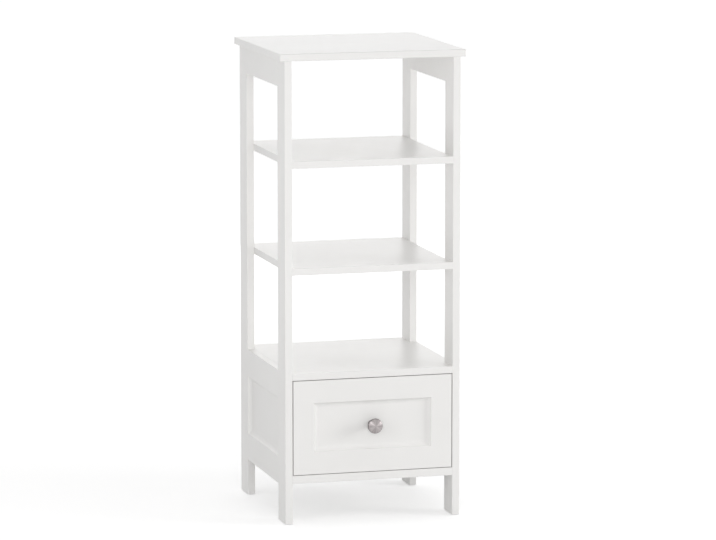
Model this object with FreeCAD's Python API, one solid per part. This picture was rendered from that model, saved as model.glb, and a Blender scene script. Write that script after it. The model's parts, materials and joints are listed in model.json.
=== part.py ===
import FreeCAD, Part
import math
import os

# Narrow free-standing bathroom cabinet. Two side frames stand on four legs and carry a top panel
# and three open shelves, with one framed drawer on roller runners below them.
# Millimetres, Z up from the floor, the front faces -Y and X = 0 is the middle.

Vector = FreeCAD.Vector
RIGHT = Vector(1, 0, 0)
BACK = Vector(0, 1, 0)
UP = Vector(0, 0, 1)
SIDES = {"left": -1, "right": 1}
ENDS = ("front", "back")

# Overall sizes
total_height = 1001.0
top_width = 406.0
top_depth = 394.0
top_thickness = 16.0
top_rounding = 2.5
side_overhang = 11.0
front_overhang = 5.0
back_overhang = 5.0

# Side frames
side_thickness = 16.0
post_width = 60.0
top_rail_height = 58.0
panel_rail_height = 59.0
panel_land = 3.0
leg_height = 79.0
edge_rounding = 0.8

# Shelves and the drawer bay
shelf_thickness = 15.0
open_bay = 211.0
floor_thickness = 17.0
floor_lift = 9.0
drawer_bay = 204.0

# Coved recess of the side panels and the drawer front
recess_depth = 7.5
cove_radius = 12.0

# Thin back panel behind the drawer
back_thickness = 3.0
back_inset = 10.0
groove_depth = 5.5

# Drawer front and box
front_thickness = 15.0
front_stile = 45.0
front_rail = 48.0
front_side_gap = 1.8
front_top_gap = 1.4
front_bottom_gap = 1.3
box_board = 12.0
box_back_gap = 26.0
box_height = 150.0
box_bottom_thickness = 3.0
box_bottom_lift = 10.0

# Turned knob and its screw
knob_length = 31.5
knob_radius = 16.0
knob_base_radius = 9.0
knob_base_height = 2.0
knob_neck_radius = 6.5
knob_neck_start = 5.0
knob_neck_end = 12.5
knob_back_radius = 13.5
knob_back_height = 20.5
knob_rim_height = 23.0
knob_edge_height = 27.0
knob_face_radius = 14.2
knob_face_height = 28.9
knob_screw_radius = 2.0
knob_screw_grip = 12.0
knob_screw_head_radius = 4.2
knob_screw_head_height = 2.4

# Roller runners
runner_gap = 12.5
runner_lift = 12.0
runner_setback = 2.0
runner_back_gap = 8.0
runner_tail = 8.0
drawer_runner_foot = 11.5
sheet = 1.0
bend_radius = 0.5
lip_height = 2.5
upper_flange = 9.0
roller_radius = 9.0
roller_hub_radius = 4.2
roller_hub_length = 2.3
pin_radius = 2.5
pin_head_radius = 4.0
pin_head_height = 1.0
front_roller_inset = 13.0
rear_roller_inset = 12.0
rollers_apart = 41.0
stop_height = 2.5
runner_screw_inset = 30.0
runner_screw_height = 11.5
drawer_screw_inset = 42.0
drawer_screw_height = 7.0

# Cam fittings, dowels and screws
cam_radius = 7.4
cam_setback = 24.0
cam_skin = 2.5
cam_flat_count = 8
bolt_radius = 2.6
bolt_depth = 11.0
bolt_head_radius = 3.2
bolt_head_length = 2.6
small_flat_count = 6
dowel_radius = 4.0
dowel_length = 30.0
dowel_shelf_depth = 11.0
tenon_thickness = 6.0
tenon_width = 24.0
tenon_length = 24.0
shelf_cam_inset = 44.0
shelf_dowel_inset = 26.0
top_cam_inset = 52.0
panel_tenon_inset = 32.0
drawer_cam_shares = (0.36, 0.84)
back_screw_shares = (0.30, 0.80)
screw_radius = 1.75
screw_length = 11.0
screw_head_radius = 3.2
screw_head_height = 1.2
back_screw_radius = 2.0
back_screw_length = 38.0
back_screw_head_radius = 3.5
back_screw_head_height = 3.0

# Foot glides
glide_thickness = 2.0
glide_radius = 6.5
glide_pin_radius = 1.0
glide_pin_length = 12.0

# Clearances
fit_play = 0.05
cam_play = 0.1
end_play = 0.5
groove_play = 0.15
roll_play = 0.3
hub_play = 0.2
lip_play = 0.4
member_play = 0.6
lift_play = 1.4
stop_play = 0.4
overrun = 1.0
tolerance = 1e-6

# Main planes
knob_reach = knob_length - recess_depth
body_depth = top_depth - front_overhang - back_overhang
y_front = knob_reach - (knob_reach + body_depth + back_overhang) / 2
y_back = y_front + body_depth
x_outer = top_width / 2 - side_overhang
x_inner = x_outer - side_thickness
x_side_middle = (x_outer + x_inner) / 2
z_top_under = total_height - top_thickness
z_floor = leg_height + floor_lift + floor_thickness
z_bay_roof = z_floor + drawer_bay
z_lower = z_bay_roof + shelf_thickness
z_upper = z_top_under - open_bay
z_middle = z_upper - shelf_thickness - open_bay
SHELVES = {
    "upper_shelf": (z_upper, shelf_thickness),
    "middle_shelf": (z_middle, shelf_thickness),
    "lower_shelf": (z_lower, shelf_thickness),
    "bottom_panel": (z_floor, floor_thickness),
}

# Cove section, with its centre in front of the face
cove_centre = cove_radius - recess_depth
cove_bend = math.acos(cove_centre / cove_radius)
cove_width = cove_radius * math.sin(cove_bend)

# Drawer planes
front_half_width = x_inner - front_side_gap
z_front_bottom = z_floor + front_bottom_gap
z_front_top = z_bay_roof - front_top_gap
z_knob = (z_front_bottom + z_front_top) / 2
y_box_front = y_front + front_thickness
y_bay_back = y_back - back_inset - back_thickness
y_box_back = y_bay_back - box_back_gap
x_box_outer = x_inner - runner_gap
x_box_inner = x_box_outer - box_board
z_runner = z_floor + runner_lift
z_box = z_runner + sheet

# Runner section: u is the distance from the cabinet side, v the height above the runner's underside
leg_u = runner_gap - sheet
channel_u = leg_u - member_play
lip_u = channel_u - sheet
roller_end = lip_u - lip_play - sheet
roller_v = sheet + roll_play + roller_radius
flange_v = roller_v + roller_radius + roll_play
roof_v = flange_v + sheet + lift_play
flange_u = leg_u + sheet - roller_end
roller_bore = pin_radius + fit_play
counterbore_radius = pin_head_radius + roll_play
counterbore_depth = pin_head_height + 2 * hub_play
y_runner = y_box_front + runner_setback
runner_length = y_bay_back - runner_back_gap - y_runner
y_drawer_runner_end = y_box_back + runner_tail
y_front_roller = y_runner + front_roller_inset
y_rear_roller = y_drawer_runner_end - rear_roller_inset


def block(xs, ys, zs):
    """Box between two limits on each axis, given in either order."""
    low = Vector(min(xs), min(ys), min(zs))
    size = Vector(max(xs), max(ys), max(zs)) - low
    return Part.makeBox(size.x, size.y, size.z, low)


def rod(radius, start, end):
    """Cylinder between two points."""
    return Part.makeCylinder(radius, (end - start).Length, start, end - start)


def bar(radius, start, end, flat_count=small_flat_count):
    """Regular prism between two points, for small fasteners and their holes."""
    corners = []
    for step in range(flat_count):
        angle = 2 * math.pi * step / flat_count
        corners.append(Vector(radius * math.cos(angle), radius * math.sin(angle), 0))
    solid = Part.Face(Part.makePolygon(corners + corners[:1])).extrude(UP * (end - start).Length)
    solid.Placement = FreeCAD.Placement(start, FreeCAD.Rotation(UP, end - start))
    return solid


def turned(outline, origin, direction):
    """Turns a closed wire of (radius, distance) edges about the line from origin along direction."""
    solid = Part.Face(outline).revolve(Vector(), UP, 360)
    solid.Placement = FreeCAD.Placement(origin, FreeCAD.Rotation(UP, direction))
    return solid


def outline_of(points):
    """Closed straight-sided outline for turning, from (radius, distance) points."""
    corners = [Vector(radius, 0, distance) for radius, distance in points]
    return Part.makePolygon(corners + corners[:1])


def frame_at(origin, out, along):
    """Placement whose local Z points out of a face and whose local X points along it."""
    return FreeCAD.Placement(origin, FreeCAD.Rotation(along, out.cross(along), out, "ZXY"))


def rounded_along(shape, axis, radius):
    """Rounds the straight edges that run along an axis."""
    edges = [e for e in shape.Edges if e.tangentAt(e.FirstParameter).cross(axis).Length < tolerance]
    return shape.makeFillet(radius, edges)


def drilled(board, holes):
    """Cuts those holes that reach a board."""
    near = [hole for hole in holes if hole.BoundBox.intersect(board.BoundBox)]
    return board.cut(near).removeSplitter() if near else board


def y_from(end, inset):
    """Y of a place set in from the front or the back face of the body."""
    return y_front + inset if end == "front" else y_back - inset


def trough(half_width, half_length):
    """Long hollow with a flat floor and coved edges, sunk below Z = 0 and running along Y."""
    half_floor = half_width - cove_width

    def on_cove(side, angle):
        x = half_floor + cove_radius * math.sin(angle)
        return Vector(side * x, 0, cove_centre - cove_radius * math.cos(angle))

    left = Part.Arc(on_cove(-1, cove_bend), on_cove(-1, cove_bend / 2), on_cove(-1, 0))
    right = Part.Arc(on_cove(1, 0), on_cove(1, cove_bend / 2), on_cove(1, cove_bend))
    floor = Part.LineSegment(left.EndPoint, right.StartPoint)
    brim = [Vector(half_width, 0, overrun), Vector(-half_width, 0, overrun)]
    opening = Part.makePolygon([right.EndPoint] + brim + [left.StartPoint])
    outline = Part.Wire([left.toShape(), floor.toShape(), right.toShape()] + opening.Edges)
    hollow = Part.Face(outline).extrude(BACK * (2 * half_length))
    hollow.translate(BACK * -half_length)
    return hollow


def coved_recess(origin, out, half_width, half_height):
    """Cutter for a flat recess with coved edges and mitred corners, sunk into a face that looks along out."""
    upright = trough(half_width, half_height + overrun)
    across = trough(half_height, half_width + overrun)
    across.rotate(Vector(), UP, 90)
    cutter = upright.common(across)
    cutter.Placement = frame_at(origin, out, UP.cross(out))
    return cutter


class Fittings:
    """Cam bolts, cam locks and dowels of one kind of joint, with the holes that they need."""

    def __init__(self):
        self.bolts = []
        self.locks = []
        self.dowels = []
        self.holes = []

    def add_cam(self, joint, outward, face, board):
        """Bolt that leaves a board at joint along outward, and its cam lock in the board's face."""
        axis = joint - outward * cam_setback
        outer = axis + face * (board / 2)
        inner = outer - face * (board - cam_skin)
        self.bolts.append(cam_bolt(joint, outward))
        self.locks.append(cam_lock(outer, inner, axis, outward))
        pocket = (outer + face * overrun, inner - face * cam_play)
        self.holes.append(bar(cam_radius + cam_play, *pocket, cam_flat_count))
        self.holes.append(bar(bolt_head_radius + cam_play, axis, joint))
        self.holes.append(bar(bolt_radius + fit_play, joint, joint + outward * (bolt_depth + end_play)))

    def add_dowel(self, joint, outward):
        """Dowel across a joint, set into the board that lies along outward, and its hole in both."""
        tip = joint + outward * dowel_shelf_depth
        root = tip - outward * dowel_length
        self.dowels.append(bar(dowel_radius, root, tip))
        self.holes.append(bar(dowel_radius + fit_play, root - outward * end_play, tip + outward * end_play))


def cam_bolt(joint, outward):
    """Bolt set into the next board, with a head that a cam lock draws in."""
    axis = joint - outward * cam_setback
    half_head = outward * (bolt_head_length / 2)
    head = bar(bolt_head_radius, axis - half_head, axis + half_head)
    return head.fuse(bar(bolt_radius, axis + half_head, joint + outward * bolt_depth))


def cam_lock(outer, inner, axis, outward):
    """Cam disc, flush with the board, with a way for the bolt's head from the side."""
    back = axis - outward * (bolt_head_length / 2 + cam_play)
    way = bar(bolt_head_radius + cam_play, back, axis + outward * (cam_radius + overrun))
    return bar(cam_radius, inner, outer, cam_flat_count).cut(way)


def flat_screw(seat, inward):
    """Flat-headed screw whose head bears on seat."""
    head = bar(screw_head_radius, seat - inward * screw_head_height, seat, cam_flat_count)
    return head.fuse(bar(screw_radius, seat, seat + inward * screw_length))


def flat_screw_hole(seat, inward):
    """Hole for a flat-headed screw, through the sheet and into the board behind it."""
    return bar(screw_radius + fit_play, seat - inward * overrun, seat + inward * (screw_length + end_play))


def sunk_screw(face, inward, play=0):
    """Screw with its head sunk flush into a face, or the hole for it where play is given."""
    seat = face + inward * back_screw_head_height
    head = bar(back_screw_head_radius + play, face - inward * play, seat + inward * play, cam_flat_count)
    return head.fuse(bar(back_screw_radius + play, seat, face + inward * (back_screw_length + play)))


def shelf_fittings():
    """Joints of the three shelves and the bottom panel with the posts."""
    fittings = Fittings()
    for z_face, thickness in SHELVES.values():
        z = z_face - thickness / 2
        for side in SIDES.values():
            for end in ENDS:
                cam_joint = Vector(side * x_inner, y_from(end, shelf_cam_inset), z)
                fittings.add_cam(cam_joint, RIGHT * side, -UP, thickness)
                dowel_joint = Vector(side * x_inner, y_from(end, shelf_dowel_inset), z)
                fittings.add_dowel(dowel_joint, RIGHT * side)
    return fittings


def top_fittings():
    """Joints of the top panel with the top rails."""
    fittings = Fittings()
    for side in SIDES.values():
        for end in ENDS:
            joint = Vector(side * x_side_middle, y_from(end, post_width + top_cam_inset), z_top_under)
            fittings.add_cam(joint, UP, RIGHT * -side, side_thickness)
    return fittings


def side_tenons(play):
    """Loose tenons between the posts and the rails and panels, or their mortises where play is given."""
    tenons = []
    heights = (z_top_under - top_rail_height / 2, z_lower - panel_tenon_inset, leg_height + panel_tenon_inset)
    half_thickness = tenon_thickness / 2 + play
    half_width = tenon_width / 2 + play
    half_length = tenon_length / 2 + play
    for side in SIDES.values():
        for end in ENDS:
            for z in heights:
                x = side * x_side_middle
                y = y_from(end, post_width)
                xs = (x - half_thickness, x + half_thickness)
                tenons.append(block(xs, (y - half_length, y + half_length), (z - half_width, z + half_width)))
    return tenons


def drawer_fittings():
    """Joints of the drawer sides with the drawer front."""
    fittings = Fittings()
    for side in SIDES.values():
        x = side * (x_box_outer + x_box_inner) / 2
        for share in drawer_cam_shares:
            joint = Vector(x, y_box_front, z_box + box_height * share)
            fittings.add_cam(joint, -BACK, RIGHT * side, box_board)
    return fittings


def cabinet_screw_seats(side):
    """Places on the web of a cabinet runner where its screws bear."""
    places = (y_runner + runner_screw_inset, y_runner + runner_length - runner_screw_inset)
    return [runner_point(side, sheet, runner_screw_height, y) for y in places]


def drawer_screw_seats(side):
    """Places on the leg of a drawer runner where its screws bear."""
    places = (y_box_front + drawer_screw_inset, y_drawer_runner_end - drawer_screw_inset)
    return [runner_point(side, leg_u, drawer_screw_height, y) for y in places]


def back_screw_places():
    """Places on the drawer sides, with the inward direction, where the drawer back is screwed on."""
    places = []
    for side in SIDES.values():
        for share in back_screw_shares:
            face = Vector(side * x_box_outer, y_box_back - box_board / 2, z_box + box_height * share)
            places.append((face, RIGHT * -side))
    return places


def top_panel():
    """Overhanging top with softened edges all round."""
    half_width = top_width / 2
    ys = (y_front - front_overhang, y_back + back_overhang)
    slab = block((-half_width, half_width), ys, (z_top_under, total_height))
    return slab.makeFillet(top_rounding, slab.Edges)


def post(side, end):
    """Corner post that runs to the floor as a leg."""
    ys = (y_from(end, 0), y_from(end, post_width))
    board = block((side * x_inner, side * x_outer), ys, (glide_thickness, z_top_under))
    return rounded_along(board, UP, edge_rounding)


def top_rail(side):
    """Rail between two posts, under the top."""
    ys = (y_from("front", post_width), y_from("back", post_width))
    board = block((side * x_inner, side * x_outer), ys, (z_top_under - top_rail_height, z_top_under))
    return rounded_along(board, BACK, edge_rounding)


def side_panel(side):
    """Board beside the drawer, with a coved recess in its outer face."""
    ys = (y_from("front", post_width), y_from("back", post_width))
    board = block((side * x_inner, side * x_outer), ys, (leg_height, z_lower))
    board = rounded_along(board, BACK, edge_rounding)
    half_width = (ys[1] - ys[0]) / 2 - panel_land
    half_height = (z_lower - leg_height) / 2 - panel_rail_height
    centre = Vector(side * x_outer, (ys[0] + ys[1]) / 2, (leg_height + z_lower) / 2)
    return board.cut(coved_recess(centre, RIGHT * side, half_width, half_height))


def shelf(z_face, thickness):
    """Shelf between the side frames, flush with the posts in front."""
    board = block((-x_inner, x_inner), (y_front, y_back), (z_face - thickness, z_face))
    return rounded_along(board, RIGHT, edge_rounding)


def back_board(play, side_play):
    """Thin back panel, or with no play its grooves, in the posts, the lower shelf and the bottom panel."""
    half_width = x_inner + groove_depth - play
    y_face = y_back - back_inset
    ys = (y_face - back_thickness - side_play, y_face + side_play)
    zs = (z_floor - groove_depth + play, z_bay_roof + groove_depth - play)
    return block((-half_width, half_width), ys, zs)


def foot_glide(side, end):
    """Nailed plastic glide under a leg."""
    foot = Vector(side * x_side_middle, y_from(end, post_width / 2), 0)
    top = foot + UP * glide_thickness
    nail = bar(glide_pin_radius, top, top + UP * glide_pin_length)
    return bar(glide_radius, foot, top, cam_flat_count).fuse(nail)


def glide_hole(side, end):
    """Hole for the nail of a foot glide."""
    foot = Vector(side * x_side_middle, y_from(end, post_width / 2), 0)
    return bar(glide_pin_radius + fit_play, foot, foot + UP * (glide_thickness + glide_pin_length + end_play))


def drawer_front():
    """Inset front with a coved recess that leaves a frame all round."""
    xs = (-front_half_width, front_half_width)
    board = block(xs, (y_front, y_box_front), (z_front_bottom, z_front_top))
    edges = [e for e in board.Edges if all(abs(v.Y - y_front) < tolerance for v in e.Vertexes)]
    board = board.makeFillet(edge_rounding, edges)
    half_height = (z_front_top - z_front_bottom) / 2 - front_rail
    centre = Vector(0, y_front, z_knob)
    return board.cut(coved_recess(centre, -BACK, front_half_width - front_stile, half_height))


def drawer_side(side):
    """Side of the drawer box."""
    xs = (side * x_box_outer, side * x_box_inner)
    board = block(xs, (y_box_front, y_box_back), (z_box, z_box + box_height))
    return rounded_along(board, BACK, edge_rounding)


def drawer_back():
    """Back of the drawer box, between its sides."""
    ys = (y_box_back - box_board, y_box_back)
    board = block((-x_box_inner, x_box_inner), ys, (z_box, z_box + box_height))
    return rounded_along(board, RIGHT, edge_rounding)


def drawer_bottom(play, face_play):
    """Thin bottom of the drawer box, or with no play the grooves that hold it."""
    half_width = x_box_inner + groove_depth - play
    ys = (y_box_front - groove_depth + play, y_box_back - box_board + groove_depth - play)
    z = z_box + box_bottom_lift
    return block((-half_width, half_width), ys, (z - face_play, z + box_bottom_thickness + face_play))


def knob():
    """Turned knob: waisted stem and a chamfered head with a shallow domed face."""
    foot = (knob_base_radius, 0)
    base = (knob_base_radius, knob_base_height)
    waist = (knob_neck_radius, knob_neck_start)
    neck = (knob_neck_radius, knob_neck_end)
    back = (knob_back_radius, knob_back_height)
    rim = (knob_radius, knob_rim_height)
    edge = (knob_radius, knob_edge_height)
    face = (knob_face_radius, knob_face_height)
    crown = (0, knob_length)
    rise = knob_length - knob_face_height
    ball = (knob_face_radius ** 2 + rise ** 2) / (2 * rise)
    half_face = knob_face_radius / 2
    dome = (half_face, knob_length - ball + math.sqrt(ball ** 2 - half_face ** 2))
    side = outline_of([face, edge, rim, back, neck, waist, base, foot, (0, 0), crown])
    front = Part.Arc(*[Vector(radius, 0, distance) for radius, distance in (crown, dome, face)])
    outline = Part.Wire(side.Edges[:-1] + [front.toShape()])
    origin = Vector(0, y_front + recess_depth, z_knob)
    body = turned(outline, origin, -BACK)
    return body.cut(bar(knob_screw_radius + fit_play, origin, origin - BACK * (knob_screw_grip + end_play)))


def knob_screw():
    """Screw through the drawer front into the knob."""
    seat = Vector(0, y_box_front, z_knob)
    tip = Vector(0, y_front + recess_depth - knob_screw_grip, z_knob)
    head = bar(knob_screw_head_radius, seat + BACK * knob_screw_head_height, seat, cam_flat_count)
    return head.fuse(bar(knob_screw_radius, seat, tip))


def knob_screw_hole():
    """Hole through the drawer front for the knob's screw."""
    ends = (Vector(0, y_front, z_knob), Vector(0, y_box_front + overrun, z_knob))
    return bar(knob_screw_radius + cam_play, *ends)


def runner_point(side, u, v, y):
    """Point of a runner section at u from the cabinet side and v above its underside."""
    return Vector(side * (x_inner - u), y, z_runner + v)


def bent_sheet(side, section, inner_bends, outer_bends, y_start, length):
    """Sheet profile with radiused bends, drawn in the runner section and extruded to the back."""
    corners = [runner_point(side, u, v, y_start) for u, v in section]
    solid = Part.Face(Part.makePolygon(corners + corners[:1])).extrude(BACK * length)
    for bends, radius in ((inner_bends, bend_radius), (outer_bends, bend_radius + sheet)):
        lines = [Part.Vertex(runner_point(side, u, v, y_start + length / 2)) for u, v in bends]
        edges = [e for e in solid.Edges if any(e.distToShape(mark)[0] < tolerance for mark in lines)]
        solid = solid.makeFillet(radius, edges)
    return solid


def cabinet_runner(side):
    """Channel on the cabinet side in which the drawer's rear roller runs, with a stop for it."""
    roof = (roof_v, roof_v + sheet)
    section = [(0, 0), (channel_u, 0), (channel_u, lip_height), (lip_u, lip_height), (lip_u, sheet),
               (sheet, sheet), (sheet, roof[0]), (upper_flange, roof[0]), (upper_flange, roof[1]),
               (0, roof[1])]
    inner_bends = [(lip_u, sheet), (sheet, sheet), (sheet, roof[0])]
    outer_bends = [(channel_u, 0), (0, 0), (0, roof[1])]
    runner = bent_sheet(side, section, inner_bends, outer_bends, y_runner, runner_length)
    roller_drop = roller_radius + roll_play - stop_height
    reach = math.sqrt(roller_radius ** 2 - roller_drop ** 2)
    y_stop = y_front_roller + rollers_apart - reach - stop_play
    low = runner_point(side, sheet + roller_hub_length, sheet, y_stop - sheet)
    high = runner_point(side, roller_end, sheet + stop_height, y_stop)
    runner = runner.fuse(block((low.x, high.x), (low.y, high.y), (low.z, high.z)))
    holes = [flat_screw_hole(seat, RIGHT * side) for seat in cabinet_screw_seats(side)]
    holes.append(pin_hole(*front_roller_axis(side)))
    return drilled(runner, holes)


def drawer_runner(side):
    """Angle under the drawer side, whose outer flange rides on the cabinet's front roller."""
    foot_u = runner_gap + drawer_runner_foot
    top_v = flange_v + sheet
    section = [(flange_u, flange_v), (leg_u, flange_v), (leg_u, 0), (foot_u, 0), (foot_u, sheet),
               (runner_gap, sheet), (runner_gap, top_v), (flange_u, top_v)]
    inner_bends = [(leg_u, flange_v), (runner_gap, sheet)]
    outer_bends = [(leg_u, 0), (runner_gap, top_v)]
    length = y_drawer_runner_end - y_box_front
    runner = bent_sheet(side, section, inner_bends, outer_bends, y_box_front, length)
    holes = [flat_screw_hole(seat, RIGHT * -side) for seat in drawer_screw_seats(side)]
    holes.append(pin_hole(*rear_roller_axis(side)))
    return drilled(runner, holes)


def front_roller_axis(side):
    """Place on the cabinet runner's web and direction of the front roller's pin."""
    return runner_point(side, sheet, roller_v, y_front_roller), RIGHT * -side


def rear_roller_axis(side):
    """Place on the drawer runner's leg and direction of the rear roller's pin."""
    return runner_point(side, leg_u, roller_v, y_rear_roller), RIGHT * side


def roller(face, direction):
    """Nylon roller with a hub against the sheet and a counterbore for the pin's head."""
    floor = roller_end - counterbore_depth
    points = [(roller_bore, hub_play), (roller_hub_radius, hub_play), (roller_hub_radius, roller_hub_length),
              (roller_radius, roller_hub_length), (roller_radius, roller_end),
              (counterbore_radius, roller_end), (counterbore_radius, floor), (roller_bore, floor)]
    return turned(outline_of(points), face, direction)


def roller_pin(face, direction):
    """Riveted pin, flush with the back of the sheet, whose head holds a roller."""
    head = roller_end - counterbore_depth + hub_play
    points = [(0, -sheet), (pin_radius, -sheet), (pin_radius, head), (pin_head_radius, head),
              (pin_head_radius, head + pin_head_height), (0, head + pin_head_height)]
    return turned(outline_of(points), face, direction)


def pin_hole(face, direction):
    """Hole in a runner's sheet for a roller pin."""
    return rod(pin_radius + fit_play, face - direction * (sheet + overrun), face + direction * overrun)


def carcass_nodes():
    """Boards of the cabinet with the fittings that hold them together."""
    shelves = shelf_fittings()
    top = top_fittings()
    corners = [(side, end) for side in SIDES.values() for end in ENDS]
    holes = shelves.holes + top.holes + side_tenons(cam_play) + [back_board(0, groove_play)]
    holes += [glide_hole(side, end) for side, end in corners]
    for side in SIDES.values():
        holes += [flat_screw_hole(seat, RIGHT * side) for seat in cabinet_screw_seats(side)]
    nodes = {"top_panel": top_panel(), "back_panel": back_board(end_play, 0)}
    for name, (z_face, thickness) in SHELVES.items():
        nodes[name] = shelf(z_face, thickness)
    for word, side in SIDES.items():
        nodes[f"top_rail_{word}"] = top_rail(side)
        nodes[f"side_panel_{word}"] = side_panel(side)
        for end in ENDS:
            nodes[f"post_{end}_{word}"] = post(side, end)
    for name in nodes:
        nodes[name] = nodes[name] if name == "back_panel" else drilled(nodes[name], holes)
    nodes["shelf_cam_bolts"] = Part.makeCompound(shelves.bolts)
    nodes["shelf_cam_locks"] = Part.makeCompound(shelves.locks)
    nodes["shelf_dowels"] = Part.makeCompound(shelves.dowels)
    nodes["top_cam_bolts"] = Part.makeCompound(top.bolts)
    nodes["top_cam_locks"] = Part.makeCompound(top.locks)
    nodes["side_tenons"] = Part.makeCompound(side_tenons(0))
    nodes["foot_glides"] = Part.makeCompound([foot_glide(side, end) for side, end in corners])
    return nodes


def drawer_nodes():
    """Drawer front, box, knob and the fittings that hold them together."""
    joints = drawer_fittings()
    screws = back_screw_places()
    holes = joints.holes + [drawer_bottom(0, groove_play), knob_screw_hole()]
    holes += [sunk_screw(face, inward, fit_play) for face, inward in screws]
    for side in SIDES.values():
        holes += [flat_screw_hole(seat, RIGHT * -side) for seat in drawer_screw_seats(side)]
    nodes = {"drawer_front": drawer_front(), "drawer_back": drawer_back()}
    for word, side in SIDES.items():
        nodes[f"drawer_side_{word}"] = drawer_side(side)
    for name in nodes:
        nodes[name] = drilled(nodes[name], holes)
    nodes["drawer_bottom"] = drawer_bottom(end_play, 0)
    nodes["drawer_cam_bolts"] = Part.makeCompound(joints.bolts)
    nodes["drawer_cam_locks"] = Part.makeCompound(joints.locks)
    back_screws = [sunk_screw(face, inward) for face, inward in screws]
    nodes["drawer_back_screws"] = Part.makeCompound(back_screws)
    nodes["knob"] = knob()
    nodes["knob_screw"] = knob_screw()
    return nodes


def runner_nodes():
    """Runners on both sides with their rollers, pins and screws."""
    nodes = {}
    cabinet_screws = []
    drawer_screws = []
    for word, side in SIDES.items():
        nodes[f"cabinet_runner_{word}"] = cabinet_runner(side)
        nodes[f"drawer_runner_{word}"] = drawer_runner(side)
        nodes[f"front_roller_{word}"] = roller(*front_roller_axis(side))
        nodes[f"rear_roller_{word}"] = roller(*rear_roller_axis(side))
        nodes[f"front_roller_pin_{word}"] = roller_pin(*front_roller_axis(side))
        nodes[f"rear_roller_pin_{word}"] = roller_pin(*rear_roller_axis(side))
        cabinet_screws += [flat_screw(seat, RIGHT * side) for seat in cabinet_screw_seats(side)]
        drawer_screws += [flat_screw(seat, RIGHT * -side) for seat in drawer_screw_seats(side)]
    nodes["cabinet_runner_screws"] = Part.makeCompound(cabinet_screws)
    nodes["drawer_runner_screws"] = Part.makeCompound(drawer_screws)
    return nodes


def main():
    os.makedirs("parts", exist_ok=True)
    nodes = {**carcass_nodes(), **drawer_nodes(), **runner_nodes()}
    for name, shape in nodes.items():
        shape.exportStep(f"parts/{name}.step")
    print(f"{len(nodes)} nodes")


main()
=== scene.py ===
import json
import math

import bmesh
import bpy
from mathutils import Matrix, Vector
from mathutils.geometry import interpolate_bezier


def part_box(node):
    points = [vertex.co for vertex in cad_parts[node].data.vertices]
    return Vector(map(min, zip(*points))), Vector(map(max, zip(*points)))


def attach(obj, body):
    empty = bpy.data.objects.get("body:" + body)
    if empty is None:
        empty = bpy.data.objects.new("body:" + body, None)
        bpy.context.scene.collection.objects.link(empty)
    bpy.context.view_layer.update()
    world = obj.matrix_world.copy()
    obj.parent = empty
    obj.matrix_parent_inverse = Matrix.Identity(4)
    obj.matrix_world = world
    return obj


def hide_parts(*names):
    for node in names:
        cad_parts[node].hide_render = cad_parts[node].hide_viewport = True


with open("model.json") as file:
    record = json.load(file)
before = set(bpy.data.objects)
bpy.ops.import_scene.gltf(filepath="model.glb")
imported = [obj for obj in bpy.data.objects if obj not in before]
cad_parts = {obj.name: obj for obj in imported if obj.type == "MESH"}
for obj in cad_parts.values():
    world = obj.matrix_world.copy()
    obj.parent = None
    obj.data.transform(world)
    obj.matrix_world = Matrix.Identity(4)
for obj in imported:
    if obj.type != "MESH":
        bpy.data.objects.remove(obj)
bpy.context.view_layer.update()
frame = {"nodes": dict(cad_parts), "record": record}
nodes = frame["nodes"]

MM = 0.001
WHITE = (1.0, 1.0, 1.0, 1.0)


def put_in_scene(name, data):
    """New object in the scene, at the origin."""
    thing = bpy.data.objects.new(name, data)
    bpy.context.scene.collection.objects.link(thing)
    return thing


# Node trees

def add(tree, kind, inputs=None, **settings):
    """New node with its settings, and with each input given as a value or as the socket that feeds it."""
    node = tree.nodes.new(kind)
    for name, value in settings.items():
        setattr(node, name, value)
    for key, value in (inputs or {}).items():
        if isinstance(value, bpy.types.NodeSocket):
            tree.links.new(value, node.inputs[key])
        else:
            node.inputs[key].default_value = value
    return node


def calculate(tree, operation, first, second):
    """Result of a sum, a product or another operation on two numbers."""
    return add(tree, "ShaderNodeMath", {0: first, 1: second}, operation=operation).outputs[0]


def vector(tree, **parts):
    """Vector with the given ones of its parts X, Y and Z."""
    return add(tree, "ShaderNodeCombineXYZ", parts).outputs[0]


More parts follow.
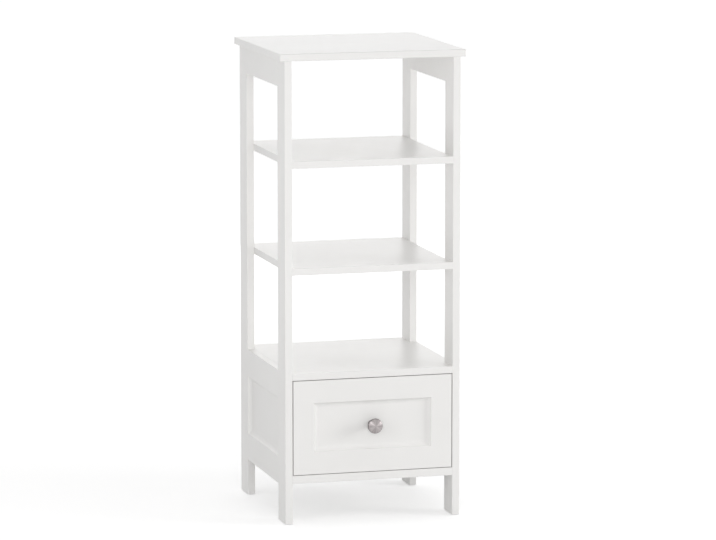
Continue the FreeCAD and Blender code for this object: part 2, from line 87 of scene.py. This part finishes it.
class Finish:
    """Procedural material whose pattern is measured in metres on the piece."""

    def __init__(self, name, metallic=0.0, along="Object"):
        self.material = bpy.data.materials.new(name)
        self.material.use_nodes = True
        self.tree = self.material.node_tree
        self.shader = self.tree.nodes["Principled BSDF"]
        self.shader.inputs["Metallic"].default_value = metallic
        self.place = add(self.tree, "ShaderNodeTexCoord").outputs[along]

    def stretched(self, scale):
        """Coordinates drawn out along an axis, for grain and brushing."""
        inputs = {"Vector": self.place, "Scale": scale}
        return add(self.tree, "ShaderNodeMapping", inputs).outputs["Vector"]

    def mottle(self, scale, detail=2.0, place=None, roughness=0.5):
        """Soft random pattern between 0 and 1."""
        inputs = {"Vector": place or self.place, "Scale": scale, "Detail": detail, "Roughness": roughness}
        return add(self.tree, "ShaderNodeTexNoise", inputs).outputs["Fac"]

    def streaks(self, scale, detail, roughness=0.5):
        """Random pattern drawn out along the axis with the smallest scale."""
        return self.mottle(1.0, detail, self.stretched(scale), roughness)

    def cells(self, scale):
        """Distance to the nearest of many scattered points."""
        inputs = {"Vector": self.place, "Scale": scale}
        return add(self.tree, "ShaderNodeTexVoronoi", inputs).outputs["Distance"]

    def between(self, pattern, low, high, start=0.3, end=0.7):
        """Pattern from start to end, spread from low to high."""
        inputs = {"Value": pattern, "From Min": start, "From Max": end, "To Min": low, "To Max": high}
        return add(self.tree, "ShaderNodeMapRange", inputs).outputs["Result"]

    def colour(self, pattern, *stops):
        """Base colour taken from stops of (share, colour) along a pattern."""
        ramp = add(self.tree, "ShaderNodeValToRGB", {"Fac": pattern})
        first, last = ramp.color_ramp.elements
        first.position, last.position = stops[0][0], stops[-1][0]
        first.color, last.color = (*stops[0][1], 1.0), (*stops[-1][1], 1.0)
        for share, shade in stops[1:-1]:
            ramp.color_ramp.elements.new(share).color = (*shade, 1.0)
        self.tree.links.new(ramp.outputs["Color"], self.shader.inputs["Base Color"])

    def shade(self, share):
        """Darkens the base colour to a share of itself."""
        base = self.shader.inputs["Base Color"]
        inputs = {"Vector": base.links[0].from_socket, "Scale": share}
        darker = add(self.tree, "ShaderNodeVectorMath", inputs, operation="SCALE")
        self.tree.links.new(darker.outputs["Vector"], base)

    def gloss(self, pattern, low, high):
        """Roughness that wanders between two values."""
        self.tree.links.new(self.between(pattern, low, high), self.shader.inputs["Roughness"])

    def relief(self, *layers):
        """Bumps of (pattern, depth in metres), each laid over the one before."""
        normal = None
        for pattern, depth in layers:
            inputs = {"Height": pattern, "Distance": depth}
            if normal:
                inputs["Normal"] = normal
            normal = add(self.tree, "ShaderNodeBump", inputs).outputs["Normal"]
        self.tree.links.new(normal, self.shader.inputs["Normal"])

    def constant(self, **values):
        """Values that are the same all over the surface."""
        for name, value in values.items():
            self.shader.inputs[name.replace("_", " ")].default_value = value


# Finishes

GRAIN_ALONG_X = (9.0, 260.0, 260.0)
GRAIN_ALONG_Y = (260.0, 9.0, 260.0)
TURNING_MAP = "turning"
# Lengths along the knob's half section, in metres: where its rim rounds off, and where its face begins; the
# knob's painted shade fades out between the two
KNOB_RIM = 0.0387
KNOB_FACE = 0.0437


def satin_paint():
    """White satin paint, rolled on fibreboard: faint orange peel and slow waves."""
    finish = Finish("satin_white_paint")
    clouds = finish.mottle(4.0, detail=4.0)
    waves = finish.mottle(7.0, detail=1.0)
    peel = finish.mottle(520.0, detail=2.0)
    finish.colour(clouds, (0.35, (0.868, 0.859, 0.844)), (0.65, (0.89, 0.881, 0.866)))
    finish.gloss(finish.mottle(55.0, detail=3.0), low=0.34, high=0.43)
    finish.relief((waves, 0.00012), (peel, 0.000018))
    return finish.material


def foil(name, grain):
    """White foil over board, with a pressed grain that runs along the board."""
    finish = Finish(name)
    streaks = finish.streaks(grain, detail=5.0, roughness=0.62)
    grit = finish.mottle(900.0, detail=1.0)
    finish.colour(streaks, (0.3, (0.76, 0.76, 0.745)), (0.7, (0.82, 0.82, 0.81)))
    finish.gloss(streaks, low=0.42, high=0.55)
    finish.relief((streaks, 0.00006), (grit, 0.00001))
    return finish.material


def lacquered_hardboard():
    """Thin white hardboard with a trace of its pressed fibres."""
    finish = Finish("lacquered_hardboard")
    fibres = finish.mottle(260.0, detail=6.0, roughness=0.7)
    finish.colour(fibres, (0.3, (0.75, 0.75, 0.735)), (0.7, (0.8, 0.8, 0.79)))
    finish.gloss(finish.mottle(35.0), low=0.45, high=0.58)
    finish.relief((fibres, 0.00005), (finish.cells(700.0), 0.00002))
    return finish.material


def beech():
    """Plain beech of the dowels and tenons, with short dark flecks along the grain."""
    finish = Finish("plain_beech")
    flecks = finish.streaks((60.0, 420.0, 420.0), detail=6.0, roughness=0.6)
    finish.colour(flecks, (0.25, (0.42, 0.25, 0.12)), (0.5, (0.56, 0.36, 0.19)), (0.75, (0.63, 0.43, 0.25)))
    finish.gloss(flecks, low=0.55, high=0.7)
    finish.relief((flecks, 0.00004))
    return finish.material


def bright_zinc():
    """Zinc-plated steel of the screws and pins, slightly uneven."""
    finish = Finish("bright_zinc", metallic=1.0)
    clouds = finish.mottle(300.0, detail=4.0)
    finish.colour(clouds, (0.3, (0.52, 0.53, 0.54)), (0.7, (0.67, 0.67, 0.65)))
    finish.gloss(finish.mottle(900.0, detail=3.0), low=0.24, high=0.4)
    finish.relief((finish.mottle(2200.0), 0.000006))
    return finish.material


def cast_zinc():
    """Dull die-cast zinc of the cam locks."""
    finish = Finish("cast_zinc", metallic=1.0)
    clouds = finish.mottle(420.0, detail=5.0)
    finish.colour(clouds, (0.3, (0.36, 0.36, 0.37)), (0.7, (0.5, 0.5, 0.5)))
    finish.gloss(finish.mottle(700.0, detail=3.0), low=0.4, high=0.56)
    finish.relief((finish.mottle(1500.0, detail=4.0), 0.00002))
    return finish.material


def epoxy_coat():
    """White epoxy coat baked on the runners, with a coarser orange peel than the paint."""
    finish = Finish("white_epoxy_coat")
    clouds = finish.mottle(25.0, detail=3.0)
    finish.colour(clouds, (0.35, (0.76, 0.76, 0.75)), (0.65, (0.81, 0.81, 0.8)))
    finish.gloss(finish.mottle(120.0), low=0.24, high=0.34)
    finish.relief((finish.mottle(420.0, detail=2.0), 0.00004))
    return finish.material


def nylon():
    """Natural nylon of the rollers, milky, with faint moulding lines."""
    finish = Finish("natural_nylon")
    clouds = finish.mottle(140.0, detail=3.0)
    lines = finish.streaks((2600.0, 90.0, 90.0), detail=2.0)
    finish.colour(clouds, (0.35, (0.68, 0.66, 0.6)), (0.65, (0.76, 0.74, 0.69)))
    finish.gloss(finish.mottle(260.0), low=0.36, high=0.5)
    finish.relief((lines, 0.00002))
    finish.constant(Subsurface_Weight=0.25, Subsurface_Scale=0.002)
    return finish.material


def brushed_nickel():
    """Warm grey nickel of the knob, brushed round its axis, with painted shade on its neck and rim, and
    random lighter and darker sectors painted as streaks of highlight.
    """
    finish = Finish("brushed_nickel", metallic=1.0, along="UV")
    rings = finish.streaks((5.0, 900.0, 1.0), detail=3.0, roughness=0.6)
    # Painted highlight: random sectors of lighter and darker colour round the axis stand in for the streaks
    # of highlight on the brushed face
    painted_streak_sectors = finish.streaks((30.0, 9.0, 1.0), detail=3.0, roughness=0.6)
    finish.colour(painted_streak_sectors, (0.32, (0.33, 0.3, 0.3)), (0.5, (0.43, 0.395, 0.395)), (0.68, (0.54, 0.51, 0.51)))
    along = add(finish.tree, "ShaderNodeSeparateXYZ", {0: finish.place}).outputs["Y"]
    # Painted shade: the colour falls to 0.42 of itself over the rim and neck, back from where the face
    # begins
    finish.shade(finish.between(along, low=0.42, high=1.0, start=KNOB_RIM, end=KNOB_FACE))
    finish.gloss(rings, low=0.4, high=0.54)
    finish.relief((rings, 0.000012))
    finish.constant(Anisotropic=0.85, Anisotropic_Rotation=0.25)
    tangent = add(finish.tree, "ShaderNodeTangent", direction_type="UV_MAP", uv_map=TURNING_MAP)
    finish.tree.links.new(tangent.outputs["Tangent"], finish.shader.inputs["Tangent"])
    return finish.material


def cap_plastic():
    """White moulded plastic of the caps over the upper cam locks."""
    finish = Finish("white_cap_plastic")
    clouds = finish.mottle(160.0, detail=3.0)
    finish.colour(clouds, (0.35, (0.855, 0.846, 0.832)), (0.65, (0.88, 0.871, 0.857)))
    finish.gloss(finish.mottle(600.0, detail=2.0), low=0.34, high=0.44)
    finish.relief((finish.mottle(1400.0, detail=2.0), 0.00001))
    return finish.material


def glide_plastic():
    """Pale moulded plastic of the foot glides, slightly scuffed."""
    finish = Finish("pale_glide_plastic")
    clouds = finish.mottle(180.0, detail=4.0)
    finish.colour(clouds, (0.3, (0.55, 0.55, 0.54)), (0.7, (0.64, 0.64, 0.63)))
    finish.gloss(finish.mottle(500.0, detail=3.0), low=0.42, high=0.62)
    finish.relief((finish.mottle(1600.0, detail=2.0), 0.00002))
    return finish.material


zinc = bright_zinc()
cast = cast_zinc()
nickel = brushed_nickel()
white_cap = cap_plastic()
glide = glide_plastic()
FINISHES = {
    "painted_board": satin_paint(),
    "drawer_board": foil("drawer_side_foil", GRAIN_ALONG_Y),
    "thin_board": lacquered_hardboard(),
    "dowel_wood": beech(),
    "zinc_steel": zinc,
    "cam_zinc": cast,
    "runner_coat": epoxy_coat(),
    "roller_nylon": nylon(),
    "knob_metal": nickel,
    "glide_plastic": glide,
}
for subpart in frame["record"]["subparts"]:
    mesh = nodes[subpart["node"]].data
    mesh.materials.clear()
    mesh.materials.append(FINISHES[subpart["material_slot"]])
nodes["drawer_back"].data.materials[0] = foil("drawer_back_foil", GRAIN_ALONG_X)


# Knob

KNOB_STEPS = 128
# In millimetres: a smaller radius counts as on the axis
AXIS_RADIUS = 1e-3


def bend(start, start_handle, end_handle, end, steps):
    """Points of a bend after its start, as (radius, height) in millimetres."""
    corners = [Vector((*corner, 0.0)) for corner in (start, start_handle, end_handle, end)]
    return [(point.x, point.y) for point in interpolate_bezier(*corners, steps + 1)[1:]]


def knob_outline():
    """Half section of the knob from its foot to the middle of its face."""
    outline = [(0.0, 0.0), (8.6, 0.0)]
    outline += bend((8.6, 0.0), (8.85, 0.0), (9.0, 0.15), (9.0, 0.4), 4)
    outline += bend((9.0, 1.5), (9.0, 1.8), (8.8, 2.0), (8.5, 2.1), 4)
    outline += bend((8.5, 2.1), (7.2, 2.6), (6.5, 4.2), (6.5, 7.0), 12)
    outline += bend((6.5, 9.0), (6.5, 15.0), (9.0, 18.7), (13.2, 20.5), 16)
    outline += bend((13.2, 20.5), (15.0, 21.3), (16.0, 22.3), (16.0, 23.7), 10)
    outline += bend((16.0, 25.7), (16.0, 27.5), (15.2, 28.55), (14.0, 29.0), 12)
    outline += bend((14.0, 29.0), (9.5, 30.7), (5.0, 31.5), (0.0, 31.5), 20)
    return outline


def knob_ring(bm, foot, radius, height):
    """Corners round the knob's axis, or a single one on the axis itself."""
    ring = []
    for step in range(KNOB_STEPS if radius > AXIS_RADIUS else 1):
        angle = 2.0 * math.pi * step / KNOB_STEPS
        out = Vector((radius * math.cos(angle), -height, radius * math.sin(angle))) * MM
        ring.append(bm.verts.new(foot + out))
    return ring


def turned_knob():
    """Knob turned from its half section about the drawer front's middle, with a map round its axis."""
    low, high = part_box("knob")
    foot = Vector(((low.x + high.x) / 2, high.y, (low.z + high.z) / 2))
    outline = knob_outline()
    lengths = [0.0]
    for start, end in zip(outline, outline[1:]):
        lengths.append(lengths[-1] + math.dist(start, end) * MM)
    bm = bmesh.new()
    turning = bm.loops.layers.uv.new(TURNING_MAP)
    rings = [knob_ring(bm, foot, radius, height) for radius, height in outline]
    for row, (ring, following) in enumerate(zip(rings, rings[1:])):
        for step in range(KNOB_STEPS):
            corners = [(ring, step, row), (ring, step + 1, row),
                       (following, step + 1, row + 1), (following, step, row + 1)]
            if len(ring) == 1:
                corners = corners[1:]
            elif len(following) == 1:
                corners = corners[:3]
            face = bm.faces.new([circle[step_at % len(circle)] for circle, step_at, _ in corners])
            for loop, (_, step_at, row_at) in zip(face.loops, corners):
                loop[turning].uv = (step_at / KNOB_STEPS, lengths[row_at])
            face.smooth = True
    bmesh.ops.recalc_face_normals(bm, faces=bm.faces)
    mesh = bpy.data.meshes.new("knob_turned")
    bm.to_mesh(mesh)
    bm.free()
    mesh.materials.append(nickel)
    return put_in_scene("knob_turned", mesh)


knob = turned_knob()
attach(knob, "drawer")
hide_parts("knob")


# Fasteners

SIZES = ("Head Radius", "Head Height", "Shank Radius", "Shank Length",
         "Cross Length", "Cross Width", "Cross Depth")
# The bars that cut a cross, each half above the face; their depths differ, so that no faces coincide
CROSS_BARS = (("Cross Length", "Cross Width", 2.0), ("Cross Width", "Cross Length", 1.9))
AIM_MARK = "aim"
HEAD_SIDES = 40
HEAD_ROWS = 24
SHANK_SIDES = 24
TIP_SHARE = 0.45
SHARP_ANGLE = math.radians(32.0)
WELD_DISTANCE = 1e-7


def turned_head(tree, given, outline):
    """Head that stands on its place, turned from an outline of (height, radius) shares."""
    blank = {"Vertices": HEAD_SIDES, "Side Segments": HEAD_ROWS, "Radius": 1.0, "Depth": 1.0}
    blank = add(tree, "GeometryNodeMeshCylinder", blank).outputs["Mesh"]
    position = add(tree, "GeometryNodeInputPosition").outputs[0]
    split = add(tree, "ShaderNodeSeparateXYZ", {0: position}).outputs
    height = calculate(tree, "ADD", split["Z"], 0.5)
    curve = add(tree, "ShaderNodeFloatCurve", {"Value": height})
    points = curve.mapping.curves[0].points
    points[0].location = outline[0]
    points[1].location = outline[-1]
    for share in outline[1:-1]:
        points.new(*share)
    for point in points:
        point.handle_type = "VECTOR"
    curve.mapping.update()
    x = calculate(tree, "MULTIPLY", split["X"], curve.outputs[0])
    y = calculate(tree, "MULTIPLY", split["Y"], curve.outputs[0])
    turned = {"Geometry": blank, "Position": vector(tree, X=x, Y=y, Z=height)}
    turned = add(tree, "GeometryNodeSetPosition", turned).outputs[0]
    size = vector(tree, X=given["Head Radius"], Y=given["Head Radius"], Z=given["Head Height"])
    return add(tree, "GeometryNodeTransform", {"Geometry": turned, "Scale": size}).outputs[0]


def cross_slot(tree, given, head):
    """Head with a cross slot cut into its face."""
    lift = vector(tree, Z=given["Head Height"])
    cut = add(tree, "GeometryNodeMeshBoolean", {"Mesh 1": head}, operation="DIFFERENCE")
    for along_x, along_y, share in CROSS_BARS:
        depth = calculate(tree, "MULTIPLY", given["Cross Depth"], share)
        size = vector(tree, X=given[along_x], Y=given[along_y], Z=depth)
        bar = add(tree, "GeometryNodeMeshCube", {"Size": size}).outputs["Mesh"]
        bar = add(tree, "GeometryNodeTransform", {"Geometry": bar, "Translation": lift}).outputs[0]
        tree.links.new(bar, cut.inputs["Mesh 2"])
    return cut.outputs["Mesh"]


def tapered_shank(tree, given):
    """Shank that runs down from its place to a thinner tip."""
    tip = calculate(tree, "MULTIPLY", given["Shank Radius"], TIP_SHARE)
    shank = {"Vertices": SHANK_SIDES, "Radius Top": given["Shank Radius"], "Radius Bottom": tip,
             "Depth": given["Shank Length"]}
    shank = add(tree, "GeometryNodeMeshCone", shank).outputs["Mesh"]
    drop = vector(tree, Z=calculate(tree, "MULTIPLY", given["Shank Length"], -1.0))
    return add(tree, "GeometryNodeTransform", {"Geometry": shank, "Translation": drop}).outputs[0]


def fastener_tree(name, outline, crossed):
    """Tree that sets a turned head with a tapered shank on each place, facing along the place's aim."""
    tree = bpy.data.node_groups.new(name, "GeometryNodeTree")
    tree.interface.new_socket("Places", in_out="INPUT", socket_type="NodeSocketGeometry")
    for size in SIZES:
        tree.interface.new_socket(size, in_out="INPUT", socket_type="NodeSocketFloat")
    tree.interface.new_socket("Metal", in_out="INPUT", socket_type="NodeSocketMaterial")
    tree.interface.new_socket("Fasteners", in_out="OUTPUT", socket_type="NodeSocketGeometry")
    given = add(tree, "NodeGroupInput").outputs

    head = turned_head(tree, given, outline)
    if crossed:
        head = cross_slot(tree, given, head)
    whole = add(tree, "GeometryNodeJoinGeometry", {"Geometry": head})
    tree.links.new(tapered_shank(tree, given), whole.inputs["Geometry"])

    aim = add(tree, "GeometryNodeInputNamedAttribute", {"Name": AIM_MARK}, data_type="FLOAT_VECTOR")
    turn = {"Vector": aim.outputs["Attribute"]}
    turn = add(tree, "FunctionNodeAlignRotationToVector", turn, axis="Z").outputs["Rotation"]
    placed = {"Points": given["Places"], "Instance": whole.outputs[0], "Rotation": turn}
    placed = add(tree, "GeometryNodeInstanceOnPoints", placed).outputs[0]
    real = add(tree, "GeometryNodeRealizeInstances", {"Geometry": placed}).outputs[0]
    coated = {"Geometry": real, "Material": given["Metal"]}
    coated = add(tree, "GeometryNodeSetMaterial", coated).outputs[0]
    add(tree, "NodeGroupOutput", {"Fasteners": coated})
    return tree


def solid_boxes(node):
    """Lowest and highest corner of each separate solid of a node, in the order of the lowest corners."""
    bm = bmesh.new()
    bm.from_mesh(nodes[node].data)
    bmesh.ops.remove_doubles(bm, verts=bm.verts, dist=WELD_DISTANCE)
    boxes = []
    left = set(bm.verts)
    while left:
        found = [left.pop()]
        corners = []
        while found:
            vert = found.pop()
            corners.append(vert.co.copy())
            for edge in vert.link_edges:
                other = edge.other_vert(vert)
                if other in left:
                    left.remove(other)
                    found.append(other)
        low = Vector(min(corner[axis] for corner in corners) for axis in range(3))
        high = Vector(max(corner[axis] for corner in corners) for axis in range(3))
        boxes.append((low, high))
    bm.free()
    return sorted(boxes, key=lambda box: tuple(box[0]))


def fasteners(name, node, body, tree, metal, sizes, aim_of):
    """Detailed fasteners in place of a node's plain ones, set level with the node's outer ends."""
    values = {size: value * MM for size, value in zip(SIZES, sizes)}
    places = []
    aims = []
    for low, high in solid_boxes(node):
        middle = (low + high) / 2
        aim = aim_of(middle)
        reach = abs((high - low).dot(aim)) / 2
        places.append(middle + aim * (reach - values["Head Height"]))
        aims.append(aim)
    mesh = bpy.data.meshes.new(name)
    mesh.from_pydata(places, [], [])
    marks = mesh.attributes.new(AIM_MARK, "FLOAT_VECTOR", "POINT")
    marks.data.foreach_set("vector", [part for aim in aims for part in aim])
    piece = put_in_scene(name, mesh)
    modifier = piece.modifiers.new("fasteners", "NODES")
    modifier.node_group = tree
    for socket in tree.interface.items_tree:
        if socket.name in values:
            modifier[socket.identifier] = values[socket.name]
        elif socket.name == "Metal":
            modifier[socket.identifier] = metal
    evaluated = piece.evaluated_get(bpy.context.evaluated_depsgraph_get())
    made = bpy.data.meshes.new_from_object(evaluated)
    piece.modifiers.clear()
    piece.data = made
    made.name = name
    made.shade_smooth()
    made.set_sharp_from_angle(angle=SHARP_ANGLE)
    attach(piece, body)
    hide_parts(node)


def downward(middle):
    return Vector((0.0, 0.0, -1.0))


def to_the_middle(middle):
    return Vector((-math.copysign(1.0, middle.x), 0.0, 0.0))


def outward(middle):
    return Vector((math.copysign(1.0, middle.x), 0.0, 0.0))


def backward(middle):
    return Vector((0.0, 1.0, 0.0))


DISC_OUTLINE = [(0.0, 0.93), (0.04, 1.0), (0.93, 1.0), (0.965, 0.975), (1.0, 0.92)]
PAN_OUTLINE = [(0.0, 1.0), (0.35, 1.0), (0.6, 0.94), (0.82, 0.8), (1.0, 0.52)]
SUNK_OUTLINE = [(0.0, 0.5), (0.85, 0.98), (0.94, 1.0), (1.0, 0.97)]
discs = fastener_tree("cam_discs", DISC_OUTLINE, True)
pans = fastener_tree("pan_heads", PAN_OUTLINE, True)
sunk = fastener_tree("sunk_heads", SUNK_OUTLINE, True)
plain = fastener_tree("plain_discs", DISC_OUTLINE, False)

# In millimetres, in the order of SIZES; plain discs have no cross
CAM = (7.4, 12.4, 2.0, 0.1, 8.4, 1.7, 2.2)
CAM_CAP = (7.4, 12.4, 2.0, 0.1)
DRAWER_CAM = (7.4, 9.4, 2.0, 0.1, 8.4, 1.7, 2.2)
RUNNER_SCREW = (3.2, 1.2, 1.7, 10.8, 3.6, 0.8, 0.8)
KNOB_SCREW = (4.2, 2.4, 1.95, 18.5, 4.6, 1.1, 1.5)
BACK_SCREW = (3.5, 3.0, 1.95, 34.8, 4.2, 0.9, 1.6)
GLIDE = (6.4, 2.0, 0.95, 11.8)

fasteners("shelf_cam_discs", "shelf_cam_locks", "carcass",
          discs, cast, CAM, downward)
fasteners("top_cam_caps", "top_cam_locks", "carcass",
          plain, white_cap, CAM_CAP, to_the_middle)
fasteners("drawer_cam_discs", "drawer_cam_locks", "drawer",
          discs, cast, DRAWER_CAM, outward)
fasteners("cabinet_runner_pan_screws", "cabinet_runner_screws", "carcass",
          pans, zinc, RUNNER_SCREW, to_the_middle)
fasteners("drawer_runner_pan_screws", "drawer_runner_screws", "drawer",
          pans, zinc, RUNNER_SCREW, outward)
fasteners("knob_pan_screw", "knob_screw", "drawer",
          pans, zinc, KNOB_SCREW, backward)
fasteners("drawer_back_sunk_screws", "drawer_back_screws", "drawer",
          sunk, zinc, BACK_SCREW, outward)
fasteners("round_foot_glides", "foot_glides", "carcass",
          plain, glide, GLIDE, downward)


# Camera, floor and light

CAMERA_LENS = 209.64
CAMERA_PLACE = (-2.3774, -8.54, 1.87119)
CAMERA_TILT = math.radians(81.28)
CAMERA_TURN = math.radians(-15.67)
CABINET_MIDDLE = Vector((0.0, 0.0, 0.5))
FLOOR_REACH = 40.0
FLOOR_GREY = (0.8, 0.8, 0.8, 1.0)
# Distance from the cabinet's middle in metres, and the floor's own shine there
FLOOR_SHINE = {"From Min": 0.5, "From Max": 4.0, "To Min": 0.41, "To Max": 0.59}
WORLD_LIGHT = 0.55
# Place and size in metres, and share of full light at the cabinet's middle
LAMPS = {
    "right_lamp": ((3.3, -1.5, 1.0), 1.4, 0.34),
    "front_lamp": ((-1.1, -4.0, 1.2), 1.6, 0.17),
    "left_lamp": ((-1.5, -1.1, 0.85), 1.0, 0.11),
    "back_lamp": ((0.3, 3.6, 1.3), 2.4, 0.12),
    "top_lamp": ((0.2, 0.4, 4.4), 2.4, 0.06),
}


def aimed_camera():
    """Long lens in front of the cabinet, to its left and above its middle."""
    camera = bpy.data.cameras.new("camera")
    camera.sensor_width = 36.0
    camera.lens = CAMERA_LENS
    camera.clip_end = 200.0
    stand = put_in_scene("camera", camera)
    stand.location = CAMERA_PLACE
    stand.rotation_euler = (CAMERA_TILT, 0.0, CAMERA_TURN)
    bpy.context.scene.camera = stand


def seen_rays(tree):
    """One for rays that show the backdrop: seen straight, in a reflection or through something clear."""
    path = add(tree, "ShaderNodeLightPath").outputs
    share = path["Is Camera Ray"]
    for ray in ("Is Glossy Ray", "Is Transmission Ray"):
        share = calculate(tree, "MAXIMUM", share, path[ray])
    return share


def pale_floor(reach):
    """Wide floor that takes a soft shadow, and shines more further out, so that it looks white there too."""
    mesh = bpy.data.meshes.new("floor")
    corners = [(-reach, -reach, 0.0), (reach, -reach, 0.0), (reach, reach, 0.0), (-reach, reach, 0.0)]
    mesh.from_pydata(corners, [], [(0, 1, 2, 3)])
    material = bpy.data.materials.new("pale_floor")
    material.use_nodes = True
    tree = material.node_tree
    tree.nodes.remove(tree.nodes["Principled BSDF"])
    matt = add(tree, "ShaderNodeBsdfDiffuse", {"Color": FLOOR_GREY})
    place = add(tree, "ShaderNodeTexCoord").outputs["Object"]
    distance = add(tree, "ShaderNodeVectorMath", {0: place}, operation="LENGTH").outputs["Value"]
    spread = add(tree, "ShaderNodeMapRange", {"Value": distance, **FLOOR_SHINE}).outputs["Result"]
    strength = calculate(tree, "MULTIPLY", seen_rays(tree), spread)
    shine = add(tree, "ShaderNodeEmission", {"Strength": strength})
    both = add(tree, "ShaderNodeAddShader", {0: matt.outputs[0], 1: shine.outputs[0]})
    tree.links.new(both.outputs[0], tree.nodes["Material Output"].inputs["Surface"])
    mesh.materials.append(material)
    floor = put_in_scene("floor", mesh)


def soft_world(strength):
    """Even light from all round, white where it is seen."""
    world = bpy.data.worlds.new("soft_world")
    world.use_nodes = True
    tree = world.node_tree
    light = tree.nodes["Background"]
    light.inputs["Strength"].default_value = strength
    light.inputs["Color"].default_value = WHITE
    white = add(tree, "ShaderNodeBackground", {"Color": WHITE, "Strength": 1.0})
    mix = {0: seen_rays(tree), 1: light.outputs[0], 2: white.outputs[0]}
    mix = add(tree, "ShaderNodeMixShader", mix)
    tree.links.new(mix.outputs[0], tree.nodes["World Output"].inputs["Surface"])
    bpy.context.scene.world = world


def softbox(name, place, size, share):
    """Square lamp aimed at the cabinet's middle, with its share of full light there."""
    aim = CABINET_MIDDLE - Vector(place)
    lamp = bpy.data.lights.new(name, "AREA")
    lamp.size = size
    lamp.energy = share * math.pi ** 2 * aim.length_squared
    stand = put_in_scene(name, lamp)
    stand.location = place
    stand.rotation_euler = aim.to_track_quat("-Z", "Y").to_euler()


aimed_camera()
pale_floor(FLOOR_REACH)
soft_world(WORLD_LIGHT)
for name, lamp in LAMPS.items():
    softbox(name, *lamp)
bpy.context.scene.view_settings.view_transform = "Standard"
